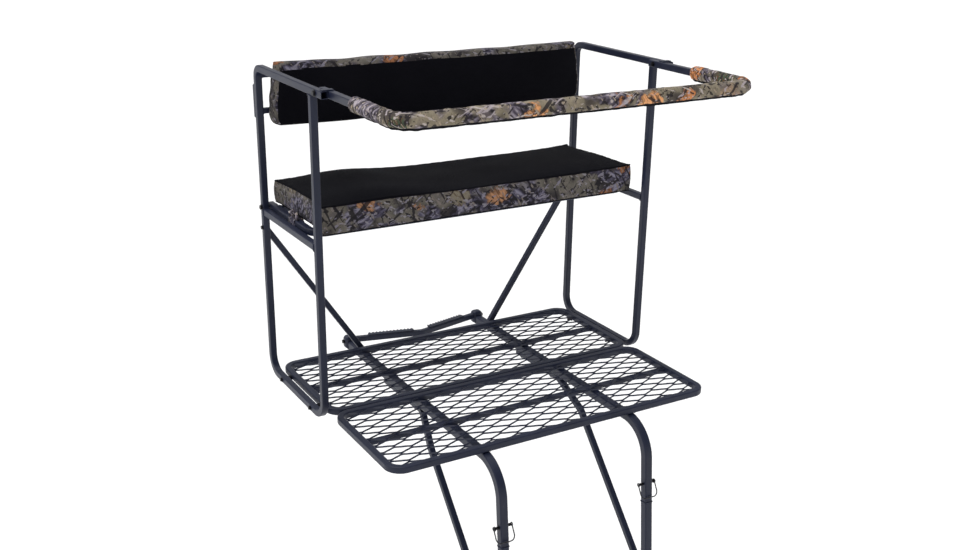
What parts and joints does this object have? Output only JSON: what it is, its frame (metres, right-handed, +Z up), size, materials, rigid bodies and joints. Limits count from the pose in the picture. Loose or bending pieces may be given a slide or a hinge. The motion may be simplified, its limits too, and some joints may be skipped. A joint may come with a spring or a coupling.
{
  "type": "ladder tree stand",
  "caption": "Two-person ladder tree stand: side frames, padded bench seat and backrest, flip-up shooting rail, mesh platform, sectional ladder and V tree bracket.",
  "frame": {"origin": "throat of the V-shaped tree bracket, at the arms' mid height, on the side that faces the tree", "axes": "+Z up, +Y towards the tree, -Y the way the seated hunters look, +X towards the right-hand side frame as seen from the front of the picture's view"},
  "size_m": [1.1456, 1.2964, 3.5903],
  "materials": {
    "frame_steel": "satin powder coat",
    "hardware": "black zinc",
    "bright_wire": "dull zinc wire",
    "black_fabric": "woven polyester",
    "camo_fabric": "printed woven polyester, bark and leaf camouflage",
    "foot_rubber": "moulded"
  },
  "bodies": {
    "stand": {"side_frame_left": "frame_steel", "seat_rail_left": "frame_steel", "brace_left": "frame_steel", "support_rail_left": "frame_steel", "ladder_top_left": "frame_steel", "strut_left": "frame_steel", "tree_blade_left": "frame_steel", "ladder_mid_rail_left": "frame_steel", "ladder_low_rail_left": "frame_steel", "backrest_bracket_left": "frame_steel", "ladder_foot_left": "foot_rubber", "lock_pin_upper_left": "hardware", "lock_pin_lower_left": "hardware", "platform_bolt_left_rear": "hardware", "platform_bolt_left_front": "hardware", "seat_pivot_left": "hardware", "rail_pivot_left": "hardware", "side_frame_right": "frame_steel", "seat_rail_right": "frame_steel", "brace_right": "frame_steel", "support_rail_right": "frame_steel", "ladder_top_right": "frame_steel", "strut_right": "frame_steel", "tree_blade_right": "frame_steel", "ladder_mid_rail_right": "frame_steel", "ladder_low_rail_right": "frame_steel", "backrest_bracket_right": "frame_steel", "ladder_foot_right": "foot_rubber", "lock_pin_upper_right": "hardware", "lock_pin_lower_right": "hardware", "platform_bolt_right_rear": "hardware", "platform_bolt_right_front": "hardware", "seat_pivot_right": "hardware", "rail_pivot_right": "hardware", "platform_rear_frame": "frame_steel", "platform_front_frame": "frame_steel", "platform_rear_bar": "frame_steel", "platform_front_bar": "frame_steel", "platform_rear_mesh": "frame_steel", "platform_front_mesh": "frame_steel", "tree_bracket": "frame_steel", "backrest_bar_lower": "frame_steel", "backrest_bar_upper": "frame_steel", "ladder_rung_1": "frame_steel", "ladder_rung_2": "frame_steel", "ladder_rung_3": "frame_steel", "ladder_rung_4": "frame_steel", "ladder_rung_5": "frame_steel", "ladder_rung_6": "frame_steel", "backrest_pad": "black_fabric"},
    "seat": {"seat_frame": "frame_steel", "seat_cushion": "black_fabric", "seat_strap_left": "camo_fabric", "seat_strap_right": "camo_fabric"},
    "shooting_rail": {"shooting_rail": "frame_steel", "shooting_rail_pad": "camo_fabric"},
    "bail_upper_left": {"pin_bail_upper_left": "bright_wire"},
    "bail_upper_right": {"pin_bail_upper_right": "bright_wire"},
    "bail_lower_left": {"pin_bail_lower_left": "bright_wire"},
    "bail_lower_right": {"pin_bail_lower_right": "bright_wire"}
  },
  "joints": [
    {"name": "seat_flip", "type": "hinge", "parent": "stand", "child": "seat", "pos_m": [0, -0.0624, 0.533], "axis": [-1, 0, 0], "range_deg": [0, 50]},
    {"name": "rail_flip", "type": "hinge", "parent": "stand", "child": "shooting_rail", "pos_m": [0, -0.51, 0.9488], "axis": [-1, 0, 0], "range_deg": [0, 110]},
    {"name": "bail_upper_left_swing", "type": "hinge", "parent": "stand", "child": "bail_upper_left", "pos_m": [-0.2472, -0.95444, -0.18728], "axis": [-1, 0, 0], "range_deg": [0, 120]},
    {"name": "bail_upper_right_swing", "type": "hinge", "parent": "stand", "child": "bail_upper_right", "pos_m": [0.2472, -0.95444, -0.18728], "axis": [-1, 0, 0], "range_deg": [0, 120]},
    {"name": "bail_lower_left_swing", "type": "hinge", "parent": "stand", "child": "bail_lower_left", "pos_m": [-0.2472, -1.07164, -1.36144], "axis": [-1, 0, 0], "range_deg": [0, 120]},
    {"name": "bail_lower_right_swing", "type": "hinge", "parent": "stand", "child": "bail_lower_right", "pos_m": [0.2472, -1.07164, -1.36144], "axis": [-1, 0, 0], "range_deg": [0, 120]}
  ]
}
